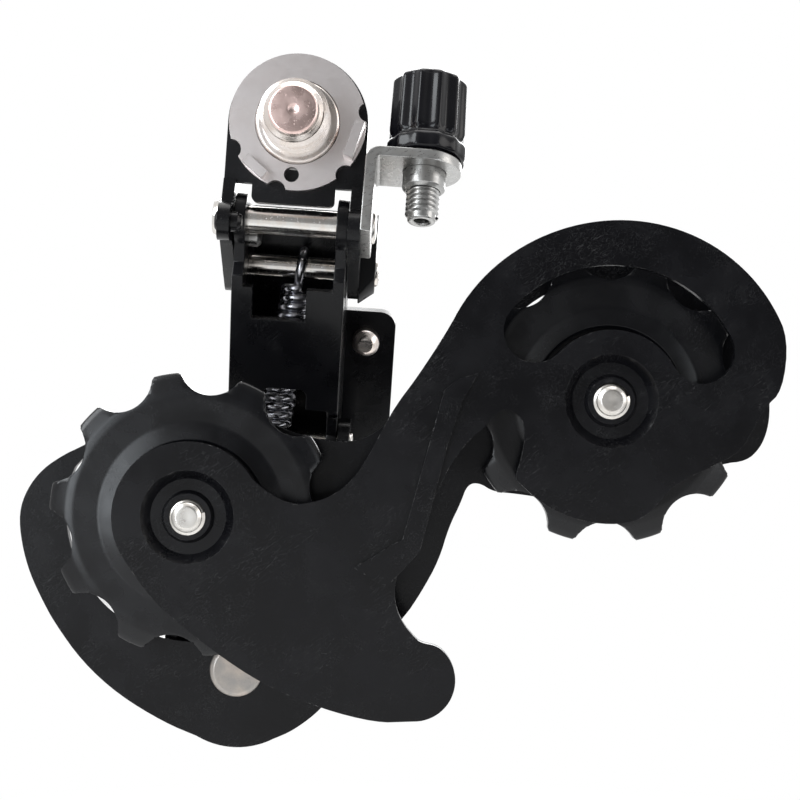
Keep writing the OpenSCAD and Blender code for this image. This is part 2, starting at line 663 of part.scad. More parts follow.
outer_outline = concat(
    arc([0, 0], 25.25, 165, 195, 3),
    [[-23.6, -9.9], [-21.3, -16.2], [-17.6, -22.1], [-12.3, -27.7]],
    arc(pivot_in_cage + [0.3, 0.1], 11.2, -135, -78, 4),
    [[4.8, -33.7], [7.7, -32.7], [10.1, -31.5], [24.4, -22.5], [27.9, -19.5], [31.5, -15.8]],
    near_tension([[-25.8, -11.5], [-23.4, -8.8], [-21.7, -6.4], [-20, -6.6], [-18.4, -8.4], [-15.6, -9.4]]),
    arc(tension, 16, -135, -60, 4),
    near_tension([[14, -13.1], [17.5, -13.7], [19.9, -12.4], [21.6, -10.2]]),
    arc(tension, 23.9, -18, 138, 12),
    [[36, 10.2], [30, 5], [25, 3.4], [19, 5.4]],
    arc([0, 0], 16, 40, 110, 4),
    [[-13.3, 13.3], [-15.9, 12.9], [-19.5, 11.7], [-22.4, 9.5]]);

// A closed outline with each corner cut at a quarter of its two sides
function eased(points) = [for (i = [0:len(points) - 1])
    let (p = points[i], q = points[(i + 1) % len(points)]) each [0.75 * p + 0.25 * q, 0.25 * p + 0.75 * q]];

module smoothed(r) offset(r, $fn = 32) offset(-2 * r, $fn = 32) offset(r, $fn = 32) children();

// A cage plate with its outer face on the side of way; each axle has a dished seat, a bore and maybe a collar
module plate_with_seats(outline, y, way, bore, collar = 0) difference() {
    floor_y = y + way * (plate_t - dish_depth);
    union() {
        difference() {
            union() {
                sheet_y(min(y, y + way * plate_t), plate_t) difference() {
                    smoothed(0.8) polygon(eased(eased(outline)));
                    children();
                }
                for (x = [0, pulley_gap]) translate([x, 0, 0]) dish(y, way);
            }
            for (x = [0, pulley_gap]) translate([x, 0, 0]) dish(y + way * plate_t, way);
        }
        if (collar > 0) for (x = [0, pulley_gap]) translate([x, 0, 0])
            turned_y([[0, floor_y - 0.6 * way], [bore + 1.4, floor_y - 0.6 * way],
                [bore + 0.7, floor_y + collar * way], [0, floor_y + collar * way]]);
    }
    for (x = [0, pulley_gap]) translate([x, 0, 0]) rod_y(bore, y - 6, y + 6);
}

// Raised rib along the arm of the inner plate
module arm_rib() {
    y = cage_inner_y - plate_t + 0.6;
    translate([0, y, 0]) rotate([90, 0, 0]) linear_extrude(1.3)
        polygon([[20.2, -12.6], [27.6, -10.6], [38.4, 7.4], [40.6, 8.4], [43.4, 8.4], [40.4, 5.4], [37, 0.4],
            [29.4, -12.8], [23.6, -16.4]]);
}

// Outer cage plate: the pulleys' bolts are headed here and the cage axle is riveted in
module outer_cage_plate() color(black_steel) cage_frame()
    plate_with_seats(outer_outline, cage_outer_y, 1, pulley_bolt_r + 0.05) {
        crescent([0, 0], 148, 268);
        crescent(tension, 13, 122, outer_window_half);
        translate(pivot_in_cage) circle(3);
        translate(pivot_in_cage + stop_reach * [cos(stop_angle - cage_angle), sin(stop_angle - cage_angle)])
            circle(stop_pin_r - 0.4);
    }

// Inner cage plate: the pulleys' bolts end in its burred, threaded collars
module inner_cage_plate() color(black_steel) cage_frame() {
    plate_with_seats(inner_outline, cage_inner_y, -1, pulley_bolt_r, 1) crescent(tension, 13, 122);
    arm_rib();
}

module cage_stop_pin() color(bright_steel) at_pivot() rotate([0, -stop_angle, 0]) translate([stop_reach, 0, 0])
    turned_y([[0, cage_outer_y + 0.05], [stop_pin_r - 0.4, cage_outer_y + 0.05],
        [stop_pin_r - 0.4, plate_face_y], [stop_pin_r, plate_face_y], [stop_pin_r, plate_face_y + stop_pin_len - 0.3],
        [stop_pin_r - 0.3, plate_face_y + stop_pin_len], [0, plate_face_y + stop_pin_len]]);

// Pulley: ten bevelled teeth, a dished web and a hub
module pulley(phase) color(black_plastic) rotate([0, -phase, 0]) intersection() {
    sheet_y(-pulley_plane - 4, 8) difference() {
        circle(tip_r, $fn = 120);
        for (i = [0:teeth - 1]) rotate((i + 0.5) * 360 / teeth)
            translate([root_r + gullet_r, 0]) circle(gullet_r);
        circle(pulley_bore_r + run_clear);
    }
    translate([0, -pulley_plane, 0]) turned_y([
        [0, -hub_t / 2], [5.2, -hub_t / 2], [5.4, -web_t / 2], [10.3, -web_t / 2], [13.4, -rim_t / 2],
        [root_r - 0.4, -rim_t / 2], [tip_r - 0.8, -1.3], [tip_r, -0.8],
        [tip_r, 0.8], [tip_r - 0.8, 1.3], [root_r - 0.4, rim_t / 2],
        [13.4, rim_t / 2], [10.3, web_t / 2], [5.4, web_t / 2], [5.2, hub_t / 2], [0, hub_t / 2]]);
}

module bush() color(bright_steel)
    turned_y([[pulley_bolt_r + 0.05, dish_floor_y[0]], [pulley_bore_r, dish_floor_y[0]],
        [pulley_bore_r, dish_floor_y[1]], [pulley_bolt_r + 0.05, dish_floor_y[1]]]);

module washers() color(zinc_steel)
    for (y = [dish_floor_y[0], dish_floor_y[1] - washer_t])
        turned_y([[pulley_bore_r, y], [5.1, y], [5.1, y + washer_t], [pulley_bore_r, y + washer_t]]);

module pulley_bolt() color(bright_steel) difference() {
    turned_y([[0, cage_inner_y - 2.2], [1.6, cage_inner_y - 2.2], [2.1, cage_inner_y - 1.7],
        [pulley_bolt_r, cage_inner_y - 1.4], [pulley_bolt_r, cage_outer_y + plate_t - dish_depth],
        [4.4, cage_outer_y + plate_t - dish_depth], [4.4, cage_outer_y + 2.2],
        [3.8, cage_outer_y + 2.8], [0, cage_outer_y + 2.8]]);
    translate([0, cage_outer_y + 3, 0]) rotate([90, 0, 0]) cylinder(r = 1.5 / cos(30), h = 2.2, $fn = 6);
}

module guide_pulley() cage_frame() pulley(100.3 - cage_angle);
module guide_bush() cage_frame() bush();
module guide_washers() cage_frame() washers();
module guide_bolt() cage_frame() pulley_bolt();
module tension_pulley() at_tension() pulley(-37 - cage_angle);
module tension_bush() at_tension() bush();
module tension_washers() at_tension() washers();
module tension_bolt() at_tension() pulley_bolt();

stopper_plate();
mounting_bolt();
pivot_sleeve();
upper_knuckle();
upper_inner_pin();
upper_outer_pin();
high_limit_screw();
low_limit_screw();
adjuster_bracket();
adjuster_bush();
barrel_screw();
adjuster_knob();
adjuster_spring();
inner_link();
outer_link();
return_spring();
cable_anchor_bolt();
cable_clamp_washer();
lower_knuckle();
lower_inner_pin();
lower_outer_pin();
cage_axle();
axle_circlip();
cage_spring();
outer_cage_plate();
inner_cage_plate();
cage_stop_pin();
guide_pulley();
guide_bush();
guide_washers();
guide_bolt();
tension_pulley();
tension_bush();
tension_washers();
tension_bolt();
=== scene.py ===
# Rear derailleur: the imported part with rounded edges, cut threads, a wound spring and worn finishes
import json
import math

import bmesh
import bpy
from mathutils import Matrix, Vector

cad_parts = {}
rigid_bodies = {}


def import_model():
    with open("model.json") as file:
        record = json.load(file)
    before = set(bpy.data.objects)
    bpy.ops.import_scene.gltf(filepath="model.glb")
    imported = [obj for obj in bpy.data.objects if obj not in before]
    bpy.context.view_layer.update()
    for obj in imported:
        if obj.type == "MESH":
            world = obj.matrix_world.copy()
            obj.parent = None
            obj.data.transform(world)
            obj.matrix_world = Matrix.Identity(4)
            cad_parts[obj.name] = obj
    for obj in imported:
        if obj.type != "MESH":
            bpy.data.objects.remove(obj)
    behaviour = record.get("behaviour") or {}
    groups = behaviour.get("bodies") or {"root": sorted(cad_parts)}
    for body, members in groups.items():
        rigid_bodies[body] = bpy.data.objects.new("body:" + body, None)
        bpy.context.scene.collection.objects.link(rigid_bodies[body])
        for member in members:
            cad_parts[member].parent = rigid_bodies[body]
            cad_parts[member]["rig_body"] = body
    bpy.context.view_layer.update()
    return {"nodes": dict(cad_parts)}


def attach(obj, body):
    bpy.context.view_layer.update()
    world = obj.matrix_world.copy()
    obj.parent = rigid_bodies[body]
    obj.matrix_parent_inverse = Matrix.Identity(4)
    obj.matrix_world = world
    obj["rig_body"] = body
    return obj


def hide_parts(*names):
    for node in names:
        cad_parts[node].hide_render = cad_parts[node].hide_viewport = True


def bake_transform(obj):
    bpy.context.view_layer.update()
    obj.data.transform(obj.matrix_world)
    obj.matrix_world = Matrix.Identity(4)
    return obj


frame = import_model()
MM = 0.001

# Places repeated from the part, in millimetres and degrees
LEAN = 4
REST_SWING = 22
LINK_LEN = 36
PIN_A = (4.5, -14.4)
PIN_B = (14.5, -20.3)
CAGE_ANGLE = 15.3
PULLEY_GAP = 60
CAGE_PIVOT = (-8.2, -79.4)
PIVOT_IN_CAGE = (-0.4, -23.2)
PULLEY_PLANE = 12
INNER_PLATE_Y = -16.4
OUTER_PLATE_Y = -7.6
BARREL = (19.2, 4, -4.4)
BARREL_TILT = 17
KNOB_LIFT = 0.3
KNOB_LEN = 13.2
KNOB_R = 6.1
KNOB_TAPER = 0.94
KNOB_FLUTES = 12
TEETH = 10
TIP_R = 19.9
ROOT_R = 16.8
GULLET_R = 4.7
GUIDE_PHASE = 100.3
TENSION_PHASE = -37
HUB_HALF = 2.25
WEB_HALF = 1.2
RIM_HALF = 2.2
SHOULDER_R = 6.2
BOLT_END_Y = -10.2
BOLT_HEAD_Y = 13.5
BOLT_HEAD_R = 8.2
BOLT_HEAD_H = 4.2
OUTER_PIN_R = 1.75
INNER_PIN_R = 2

# Detail that the scene adds, in millimetres
PULLEY_BORE_R = 4.06
PULLEY_HUB_R = 5.25
PULLEY_WEB_R = 9.3
PULLEY_SLOPE_R = 12.9
PULLEY_RIM_R = 16.4
STEPS_PER_TOOTH = 36
KNOB_HOLLOW_R = 4.5
KNOB_HOLLOW = 4.2
KNOB_SOCKET_R = 2.6
KNOB_FLOOR = (6.7, 7.5)
CABLE_HOLE_R = 1.2
PILOT_R = 3.6
M10_R = 5
M10_CORE_R = 4.35
M5_R = 2.5
M5_CORE_R = 2.1
M5_HEAD_R = 4.4
M5_PITCH = 0.8
M5_THREAD_DEPTH = 0.42
SPRING_R = 1.95
SPRING_WIRE = 0.74
SPRING_TURNS = 15
SPRING_STEPS = 28
SPRING_LEAD = 3.2


def turn(angle, axis):
    return Matrix.Rotation(math.radians(angle), 4, axis)


def shift(x, y, z):
    return Matrix.Translation((x * MM, y * MM, z * MM))


def toward(point, angle, length):
    """The flat point that lies at an angle below a pin, in the plane of the linkage."""
    a = math.radians(angle)
    return (point[0] + length * math.sin(a), point[1] - length * math.cos(a))


PIN_D = toward(PIN_A, REST_SWING, LINK_LEN)
cage_turn = math.radians(CAGE_ANGLE)
GUIDE_AXLE = (
    CAGE_PIVOT[0] - PIVOT_IN_CAGE[0] * math.cos(cage_turn) + PIVOT_IN_CAGE[1] * math.sin(cage_turn),
    CAGE_PIVOT[1] - PIVOT_IN_CAGE[0] * math.sin(cage_turn) - PIVOT_IN_CAGE[1] * math.cos(cage_turn),
)

# Frames of the sub-assemblies; a turned piece is drawn about Z and laid along Y
ALONG_Y = turn(-90, "X")
leaned = turn(LEAN, "Y")
barrel_frame = leaned @ shift(*BARREL) @ turn(-BARREL_TILT, "X")
guide_frame = shift(GUIDE_AXLE[0], 0, GUIDE_AXLE[1]) @ turn(-CAGE_ANGLE, "Y")
tension_frame = guide_frame @ shift(PULLEY_GAP, 0, 0)


class Socket:
    """A number that varies over a surface; Python's operators add its Math nodes."""

    def __init__(self, finish, socket):
        self.finish = finish
        self.socket = socket

    def math(self, operation, *others):
        values = dict(enumerate((self, *others)))
        return self.finish.node("ShaderNodeMath", {"operation": operation}, values)

    def __add__(self, other):
        return self.math("ADD", other)

    __radd__ = __add__

    def __mul__(self, other):
        return self.math("MULTIPLY", other)

    __rmul__ = __mul__

    def __sub__(self, other):
        return self.math("SUBTRACT", other)

    def __rsub__(self, other):
        return (self * -1) + other

    def __abs__(self):
        return self.math("ABSOLUTE")

    def lowest(self, other):
        return self.math("MINIMUM", other)

    def highest(self, other):
        return self.math("MAXIMUM", other)

    def between(self, low, high, to_low=0.0, to_high=1.0):
        """Eased from to_low at low to to_high at high, and held outside."""
        return self.finish.node(
            "ShaderNodeMapRange",
            {"interpolation_type": "SMOOTHSTEP"},
            {"Value": self, "From Min": low, "From Max": high, "To Min": to_low, "To Max": to_high},
        )


class Finish:
    """The node tree of one material or of the world."""

    def __init__(self, owner):
        owner.use_nodes = True
        self.tree = owner.node_tree
        self.tree.nodes.clear()

    def node(self, kind, settings=None, values=None, output=0):
        """Adds a node: its settings first, then the values or links of its sockets."""
        made = self.tree.nodes.new(kind)
        for name, value in (settings or {}).items():
            setattr(made, name, value)
        for name, value in (values or {}).items():
            if isinstance(value, Socket):
                self.tree.links.new(value.socket, made.inputs[name])
            elif value is not None:
                made.inputs[name].default_value = value
        return Socket(self, made.outputs[output]) if made.outputs else None

    def ray(self, kind):
        """1 for rays of one kind, such as Is Camera Ray."""
        return self.node("ShaderNodeLightPath", output=kind)

    def mix(self, factor, first, second):
        """A colour between two colours."""
        first, second = (c if isinstance(c, Socket) else (*c, 1) for c in (first, second))
        return self.node("ShaderNodeMix", {"data_type": "RGBA"}, {0: factor, 6: first, 7: second}, output=2)

    def place(self, scale=(1, 1, 1), turned=(0, 0, 0), moved=(0, 0, 0)):
        """Object coordinates in millimetres, turned and stretched for a pattern."""
        at = self.node("ShaderNodeTexCoord", output=3)
        angles = [math.radians(a) for a in turned]
        flat = self.node(
            "ShaderNodeMapping",
            {},
            {"Vector": at, "Location": moved, "Rotation": angles, "Scale": (1 / MM,) * 3},
        )
        return self.node("ShaderNodeVectorMath", {"operation": "MULTIPLY"}, {0: flat, 1: scale})

    def noise(self, scale=1.0, detail=2.0, at=None, roughness=0.5, distortion=0.0):
        return self.node(
            "ShaderNodeTexNoise",
            {},
            {
                "Vector": at or self.place(),
                "Scale": scale,
                "Detail": detail,
                "Roughness": roughness,
                "Distortion": distortion,
            },
        )

    def hairlines(self, turned, length, spacing, width=0.012, share=0.5):
        """Fine scratches along one direction, broken up into patches."""
        along = self.place((1 / length, 1 / spacing, 1 / spacing), turned)
        line = abs(self.noise(1.0, 1.5, along, distortion=0.4) - 0.5).between(width, 0)
        patches = self.noise(0.16, 2.0, self.place(moved=(turned[0], turned[1], 7)))
        return line * patches.between(share, share + 0.14)

    def worn_edge(self, radius, low=0.06, high=0.3):
        """1 on the outer edges of the metal, where the coat has rubbed."""
        softened = self.node("ShaderNodeBevel", {"samples": 6}, {"Radius": radius * MM})
        flat = self.node("ShaderNodeNewGeometry", output=1)
        product = {"operation": "DOT_PRODUCT"}
        facing = self.node("ShaderNodeVectorMath", product, {0: softened, 1: flat}, output=1)
        return (1 - facing).between(low, high)

    def bump(self, height, strength, distance, under=None):
        values = {"Height": height, "Strength": strength, "Distance": distance * MM, "Normal": under}
        return self.node("ShaderNodeBump", {}, values)

    def surface(self, **values):
        """The shader; a name such as base_color is the socket Base Color."""
        named = {}
        for key, value in values.items():
            named[key.replace("_", " ").title().replace("Ior", "IOR")] = value
        shader = self.node("ShaderNodeBsdfPrincipled", {}, named)
        self.node("ShaderNodeOutputMaterial", {}, {"Surface": shader})


def new_finish(name):
    material = bpy.data.materials.new(name)
    return material, Finish(material)


def black_coat(name, tone=(0.0026, 0.0026, 0.0033), rough=0.27, scratched=1.0, grime=0.5):
    """Glossy black coating on pressed steel: slight orange peel, dust, scratches and rubbed edges."""
    material, f = new_finish(name)
    peel = f.noise(1.7, 3.0)
    cloud = f.noise(0.11, 4.0, roughness=0.6)
    dust = f.noise(2.6, 6.0, roughness=0.75).between(0.6, 0.74) * f.noise(0.2, 3.0).between(0.4, 0.62)
    lines = (
        f.hairlines((12, 33, 20), 9, 0.5)
        .highest(f.hairlines((70, -48, 5), 7, 0.42))
        .highest(f.hairlines((25, 80, 64), 6, 0.38, share=0.56))
    )
    chips = f.noise(1.5, 3.0, roughness=0.7).between(0.5, 0.62)
    worn = f.worn_edge(0.16) * chips * f.noise(0.3, 2.0).between(0.42, 0.6)
    colour = f.mix(cloud.between(0.35, 0.65), tone, tuple(1.5 * c for c in tone))
    colour = f.mix(dust * 0.1 * grime, colour, (0.2, 0.19, 0.18))
    colour = f.mix(lines * 0.035 * scratched, colour, (0.4, 0.4, 0.4))
    colour = f.mix(worn * 0.55, colour, (0.42, 0.41, 0.4))
    roughness = cloud.between(0.3, 0.7, rough - 0.05, rough + 0.07) + dust * 0.25 + lines * 0.16 * scratched
    normal = f.bump(peel, 0.16, 0.05, f.bump(lines * -1, 0.25, 0.01))
    f.surface(
        base_color=colour,
        roughness=roughness,
        metallic=worn * 0.7,
        normal=normal,
        ior=1.45,
        specular_ior_level=0.22,
        coat_weight=0.09,
        coat_roughness=0.12,
    )
    return material


def moulded(name, tone, rough, grain=0.10, gloss=0.26):
    """Black plastic from a mould: a satin skin, faint flow marks and a few scuffs."""
    material, f = new_finish(name)
    skin = f.noise(4.2, 3.0, roughness=0.6)
    flow = f.noise(0.22, 3.0, f.place((1, 0.5, 1), (20, 10, 30)))
    scuffs = f.hairlines((40, 15, 70), 5, 0.4, share=0.55)
    polish = f.worn_edge(0.25, 0.05, 0.35)
    colour = f.mix(flow.between(0.35, 0.65), tone, tuple(1.35 * c for c in tone))
    colour = f.mix(scuffs * 0.05, colour, (0.3, 0.3, 0.3))
    colour = f.mix(polish * 0.08, colour, (0.2, 0.2, 0.21))
    f.surface(
        base_color=colour,
        roughness=flow.between(0.3, 0.7, rough - 0.04, rough + 0.06) + scuffs * 0.15 - polish * 0.08,
        normal=f.bump(skin, grain, 0.03, f.bump(scuffs * -1, 0.2, 0.01)),
        ior=1.5,
        specular_ior_level=gloss,
    )
    return material


def plated(name, tone, rough=0.3, blotch=0.5, tint=(0.62, 0.56, 0.5), streak=1.0):
    """Zinc on stamped or turned steel: rolled grain, clouds, dull spots and brighter rubbed edges."""
    material, f = new_finish(name)
    grain = f.noise(1.0, 4.0, f.place((0.9, 2.0, 2.6), (10, 24, 0)), roughness=0.65)
    cloud = f.noise(0.24, 5.0, roughness=0.62, distortion=0.6)
    spots = f.noise(1.9, 4.0, roughness=0.7).between(0.6, 0.72)
    lines = f.hairlines((5, 52, 10), 6, 0.36).highest(f.hairlines((60, -20, 30), 5, 0.3))
    rubbed = f.worn_edge(0.14)
    dull = tuple(0.72 * c for c in tone)
    colour = f.mix(cloud.between(0.38, 0.66) * blotch, tone, tint)
    colour = f.mix(spots * 0.15, colour, dull)
    colour = f.mix(rubbed * 0.4, colour, (0.8, 0.79, 0.78))
    f.surface(
        base_color=colour,
        roughness=grain.between(0.3, 0.7, rough - 0.05 * streak, rough + 0.09 * streak)
        + spots * 0.08
        + lines * 0.03 * streak
        - rubbed * 0.06,
        metallic=1.0,
        normal=f.bump(grain, 0.06 * streak, 0.02),
    )
    return material


def turned_steel(name, tone, rough, tint=(0.6, 0.5, 0.42), leaned_pin=False, face=None):
    """Bright turned steel: tool marks square to the axis, a warm cast, and a bare front face."""
    material, f = new_finish(name)
    along_pin = f.place((7, 0.25, 0.25), (0, LEAN, 0)) if leaned_pin else f.place((0.25, 7, 0.25))
    marks = f.noise(1.0, 3.0, along_pin, roughness=0.7)
    cloud = f.noise(0.35, 4.0, roughness=0.6)
    pits = f.noise(3.4, 3.0).between(0.64, 0.72)
    colour = f.mix(cloud.between(0.35, 0.7) * 0.45, tone, tint)
    colour = f.mix(pits * 0.4, colour, tuple(0.6 * c for c in tone))
    if face:
        depth = f.node("ShaderNodeSeparateXYZ", {}, {0: f.place()}, output=1)
        colour = f.mix(depth.between(BOLT_END_Y + 0.1, BOLT_END_Y + 0.4, 1, 0), colour, face)
    f.surface(
        base_color=colour,
        roughness=marks.between(0.3, 0.7, rough - 0.04, rough + 0.1) + pits * 0.15,
        metallic=1.0,
        normal=f.bump(marks, 0.14, 0.02, f.bump(pits * -1, 0.3, 0.02)),
    )
    return material


def oiled_wire(name):
    """Dark drawn spring wire under a film of oil."""
    material, f = new_finish(name)
    drawn = f.noise(1.6, 4.0, roughness=0.6)
    film = f.noise(0.5, 3.0)
    f.surface(
        base_color=f.mix(drawn.between(0.35, 0.7), (0.36, 0.36, 0.39), (0.54, 0.54, 0.57)),
        roughness=film.between(0.3, 0.7, 0.2, 0.34),
        metallic=1.0,
        normal=f.bump(drawn, 0.12, 0.02),
    )
    return material


black_steel = black_coat("black_coated_steel")
plate_black = black_coat("black_coated_plate", rough=0.25, scratched=1.2, grime=0.7)
knob_black = moulded("black_knob_plastic", (0.003, 0.003, 0.0042), 0.15, 0.05)
pulley_black = moulded("black_pulley_nylon", (0.0022, 0.0023, 0.0031), 0.24, gloss=0.34)
zinc = plated("zinc_plate", (0.4, 0.4, 0.395), 0.3, 0.4, (0.36, 0.345, 0.325))
# The stopper disc gets a lighter copy of the same zinc plating: its extra lightness is painted light,
# standing in for the window's bright reflection on the disc
zinc_painted_lit = plated("zinc_plate_disc_painted_light", (0.79, 0.74, 0.73), 0.3, 0.35, (0.73, 0.66, 0.64), 0.25)
pin_steel = turned_steel("turned_pin_steel", (0.66, 0.65, 0.63), 0.16, leaned_pin=True)
bolt_steel = turned_steel("turned_bolt_steel", (0.68, 0.63, 0.6), 0.26, face=(0.74, 0.56, 0.52))
axle_steel = turned_steel("turned_axle_steel", (0.63, 0.61, 0.58), 0.26, (0.54, 0.5, 0.45))
rivet_steel = turned_steel("peened_rivet_steel", (0.3, 0.285, 0.27), 0.34)
wire = oiled_wire("oiled_spring_wire")


def finished(name, mesh, material, body, replaced):
    """Makes the piece, gives it its finish and lets it ride on its body in place of its CAD node."""
    piece = bpy.data.objects.new(name, mesh)
    bpy.context.scene.collection.objects.link(piece)
    mesh.materials.clear()
    mesh.materials.append(material)
    if body:
        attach(piece, body)
    if replaced:
        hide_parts(*replaced)
    return piece


def smooth_shaded(bm, limit=38):
    """Shades every face smooth, with a hard line where two faces meet at more than the limit."""
    for face in bm.faces:
        face.smooth = True
    for edge in bm.edges:
        edge.smooth = len(edge.link_faces) != 2 or edge.calc_face_angle(0) < math.radians(limit)


def as_mesh(bm, name):
    mesh = bpy.data.meshes.new(name)
    bm.to_mesh(mesh)
    bm.free()
    return mesh


def eased(node, name, material, radius):
    """A copy of a CAD node whose sharp edges are broken as pressing, turning or moulding leaves them."""
    source = frame["nodes"][node]
    bm = bmesh.new()
    bm.from_mesh(source.data)
    bmesh.ops.remove_doubles(bm, verts=bm.verts, dist=2e-6)
    bmesh.ops.dissolve_limit(bm, angle_limit=math.radians(0.6), verts=bm.verts, edges=bm.edges)
    bmesh.ops.recalc_face_normals(bm, faces=bm.faces)
    limit = math.radians(32)
    sharp = [e for e in bm.edges if len(e.link_faces) == 2 and e.calc_face_angle(0) > limit]
    bmesh.ops.bevel(
        bm,
        geom=sharp,
        offset=radius * MM,
        offset_type="OFFSET",
        affect="EDGES",
        segments=2,
        profile=0.5,
        material=-1,
        clamp_overlap=True,
    )
    smooth_shaded(bm)
    piece = finished(name, as_mesh(bm, name), material, source["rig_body"], [node])
    weighted = piece.modifiers.new("even shading", "WEIGHTED_NORMAL")
    weighted.keep_sharp = True
    return piece


def rounded(outline, ease, steps=3):
    """An outline of (radius, height) whose inner corners are small curves."""
    points = [Vector(p) for p in outline]
    curve = [points[0]]
    for before, corner, after in zip(points, points[1:], points[2:]):
        to_before, to_after = before - corner, after - corner
        start = corner + to_before.normalized() * min(ease, to_before.length * 0.45)
        end = corner + to_after.normalized() * min(ease, to_after.length * 0.45)
        for i in range(steps + 1):
            t = i / steps
            curve.append(start * (1 - t) ** 2 + corner * 2 * t * (1 - t) + end * t**2)
    return [tuple(p) for p in curve + [points[-1]]]


def lift_ring(verts, radius, height):
    """Moves a ring of points to a radius, which may depend on the angle and height, and to a height."""
    for vert in verts:
        angle = math.atan2(vert.co.y, vert.co.x)
        r = radius(angle) if callable(radius) else radius
        vert.co = Vector((r * math.cos(angle), r * math.sin(angle), height)) * MM


def turned_skin(bm, levels, segments, closed=False):
    """Adds a skin about Z through rings of (radius, height); an open one is capped at both ends."""
    rings = [bmesh.ops.create_circle(bm, segments=segments, radius=1)["verts"]]
    lift_ring(rings[0], *levels[0])
    for level in levels[1:]:
        rings.append([bm.verts.new(vert.co) for vert in rings[-1]])
        lift_ring(rings[-1], *level)
    above = rings[1:] + rings[:1] if closed else rings[1:]
    for low, high in zip(rings, above):
        for i in range(segments):
            bm.faces.new((low[i - 1], low[i], high[i], high[i - 1]))
    if not closed:
        bm.faces.new(rings[0])
        bm.faces.new(rings[-1])


def thread(bm, radius, depth, pitch, start, length, steps=36):
    """Adds a helical ridge on a core that is depth smaller than radius, from a height along Z."""
    flank = [(-0.5, -depth), (-0.42, -depth), (-0.09, 0), (0.09, 0), (0.42, -depth), (0.5, -depth)]
    turns = max(1, round(length / pitch))
    rows = []
    for step in range(turns * steps + 1):
        spun = turn(360 * step / steps, "Z")
        points = [(radius + out, 0, start + pitch * (up + step / steps)) for up, out in flank]
        rows.append([bm.verts.new(spun @ Vector(point) * MM) for point in points])
    for row, following in zip(rows, rows[1:]):
        for i in range(1, len(flank)):
            bm.faces.new((row[i - 1], row[i], following[i], following[i - 1]))


def dressed(name, bm, frame_of_piece, material, node, limit=38):
    """Finishes a modelled mesh and lets it stand for its CAD node, on that node's body."""
    bm.transform(frame_of_piece)
    bmesh.ops.remove_doubles(bm, verts=bm.verts, dist=2e-6)
    bmesh.ops.recalc_face_normals(bm, faces=bm.faces)
    smooth_shaded(bm, limit)
    return finished(name, as_mesh(bm, name), material, frame["nodes"][node]["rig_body"], [node])


def soft_lowest(a, b, ease):
    return (a + b) / 2 - math.sqrt((a - b) ** 2 + ease**2) / 2


def tooth_reach(angle):
    """Distance from a pulley's axle to its toothed edge: round gullets cut into the tip circle."""
    pitch = math.tau / TEETH
    from_gullet = angle % pitch - pitch / 2
    side = (ROOT_R + GULLET_R) * math.sin(from_gullet)
    if abs(side) >= GULLET_R:
        return TIP_R
    near = (ROOT_R + GULLET_R) * math.cos(from_gullet) - math.sqrt(GULLET_R**2 - side**2)
    return soft_lowest(near, TIP_R, 0.3)


def inside_teeth(radius):
    return lambda angle: min(radius, tooth_reach(angle))


def pulley(name, node, where, phase):
    """A moulded pulley: hub, web, a step up to the sloping rim, and bevelled teeth."""
    hub = [(PULLEY_BORE_R, 0.6), (PULLEY_BORE_R, HUB_HALF), (PULLEY_HUB_R, HUB_HALF)]
    web = [(PULLEY_HUB_R + 0.35, WEB_HALF), (PULLEY_WEB_R, WEB_HALF), (PULLEY_WEB_R + 1.1, RIM_HALF)]
    rim = [(PULLEY_SLOPE_R, RIM_HALF - 0.55), (PULLEY_RIM_R, RIM_HALF - 0.5)]
    bevel = [(17.4, 1.6), (19.1, 1.15), (TIP_R - 0.05, 0.75), (TIP_R, 0.06), (TIP_R - 0.06, 0)]
    side = rounded(hub + web + rim + bevel, 0.3)
    half = [(inside_teeth(r) if r > PULLEY_SLOPE_R + 2 else r, h) for r, h in side]
    other = [(r, -h) for r, h in reversed(half[:-1])]
    bm = bmesh.new()
    turned_skin(bm, half + other, TEETH * STEPS_PER_TOOTH, closed=True)
    upright = where @ turn(-phase, "Y") @ shift(0, -PULLEY_PLANE, 0) @ ALONG_Y
    dressed(name, bm, upright, pulley_black, node, 30)


def fluted(radius, depth):
    """Soft hollows round a knob, with a rounded ridge between each two."""
    return lambda angle: radius - depth * (0.5 + 0.5 * math.cos(angle * KNOB_FLUTES)) ** 0.8


def knob():
    """The cable adjuster's knob: lobed skirt, waist, tapering flutes and a rounded top with a socket."""
    floor_low, floor_top = KNOB_FLOOR
    skirt = [(KNOB_HOLLOW_R, KNOB_HOLLOW), (KNOB_HOLLOW_R, 0), (KNOB_R - 0.1, 0), (KNOB_R, 1.2)]
    waist = [(KNOB_R - 0.05, 2.3), (KNOB_R - 0.75, 3.0), (KNOB_R - 0.25, 3.9)]
    grip = [(KNOB_R * KNOB_TAPER, KNOB_LEN - 0.6), (KNOB_R * 0.8, KNOB_LEN)]
    socket = [(KNOB_SOCKET_R + 0.5, KNOB_LEN), (KNOB_SOCKET_R, KNOB_LEN - 0.4), (KNOB_SOCKET_R, floor_top)]
    cable_hole = [(CABLE_HOLE_R, floor_top), (CABLE_HOLE_R, floor_low)]
    barrel_bore = [(M5_R, floor_low), (M5_R, KNOB_HOLLOW)]
    levels = []
    for r, h in rounded(skirt + waist + grip + socket + cable_hole + barrel_bore, 0.55, 5):
        full_depth = 0.22 + 0.36 * max(0.0, min(1, (h - 2.6) / 1.6))
        depth = full_depth * max(0.0, min(1, (KNOB_LEN + 0.15 - h) / 0.9))
        levels.append((fluted(r, depth) if r > KNOB_HOLLOW_R + 0.05 else r, h))
    bm = bmesh.new()
    turned_skin(bm, levels, KNOB_FLUTES * 20, closed=True)
    raised = barrel_frame @ shift(0, 0, KNOB_LIFT)
    dressed("fluted_knob", bm, raised, knob_black, "adjuster_knob")


